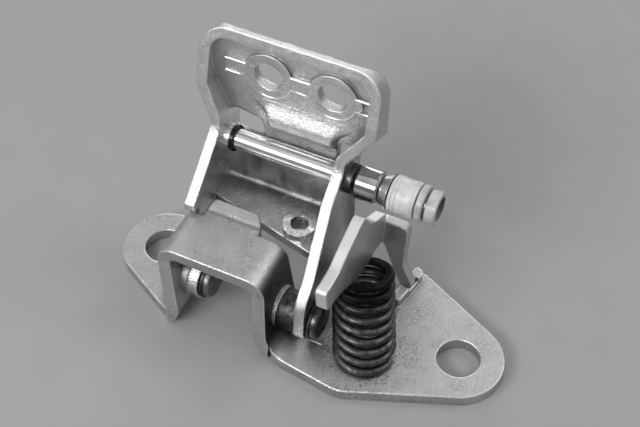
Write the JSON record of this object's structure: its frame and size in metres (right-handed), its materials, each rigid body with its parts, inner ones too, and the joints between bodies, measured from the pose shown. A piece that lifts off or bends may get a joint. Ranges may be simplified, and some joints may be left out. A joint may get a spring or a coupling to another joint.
{
  "type": "car door hinge",
  "caption": "Stamped steel car door hinge: pillar bracket, swinging door leaf with a roller pin, and a sprung rocking check lever.",
  "frame": {"origin": "midway between the two pillar bolt holes, on the mounting face", "axes": "+X along the hinge axis towards the check spring, +Y towards the side the leaf closes to, +Z away from the pillar"},
  "size_m": [0.1158, 0.0506, 0.0736],
  "materials": {
    "plated_sheet": "zinc plated, satin",
    "pivot_steel": "satin",
    "bronze": "dull",
    "polished_steel": "bright",
    "dark_steel": "dull",
    "white_nylon": "matt",
    "lever_steel": "satin",
    "spring_steel": "oiled"
  },
  "bodies": {
    "bracket": {"base_bracket": "plated_sheet", "left_pivot_pin": "pivot_steel", "right_pivot_pin": "pivot_steel", "pivot_spacer": "pivot_steel", "left_thrust_washer": "bronze", "right_thrust_washer": "bronze", "check_spring": "spring_steel"},
    "leaf": {"door_leaf": "plated_sheet", "left_pivot_bush": "bronze", "right_pivot_bush": "bronze", "weld_nut": "plated_sheet", "roller_pin": "polished_steel", "pin_collar": "polished_steel", "pin_tube": "polished_steel", "taper_ring": "dark_steel", "end_washer": "polished_steel", "retaining_ring": "dark_steel", "pin_cap": "dark_steel", "roller_washer": "dark_steel"},
    "roller": {"check_roller": "polished_steel"},
    "sleeve": {"buffer_sleeve": "white_nylon"},
    "lever": {"check_lever": "lever_steel"}
  },
  "joints": [
    {"name": "leaf_swing", "type": "hinge", "parent": "bracket", "child": "leaf", "pos_m": [0, -0.009, 0.0103], "axis": [-1, 0, 0], "range_deg": [0, 65]},
    {"name": "roller_spin", "type": "hinge", "parent": "leaf", "child": "roller", "pos_m": [0, 0.0178, 0.0392], "axis": [1, 0, 0], "continuous": true},
    {"name": "sleeve_spin", "type": "hinge", "parent": "leaf", "child": "sleeve", "pos_m": [0, 0.0178, 0.0392], "axis": [1, 0, 0], "continuous": true},
    {"name": "lever_rock", "type": "hinge", "parent": "bracket", "child": "lever", "pos_m": [0, 0.0161, 0.005], "axis": [1, 0, 0], "range_deg": [0, 5], "stiffness_Nm_per_rad": 2, "springref_deg": -11.46, "deforming": ["check_spring"]}
  ]
}
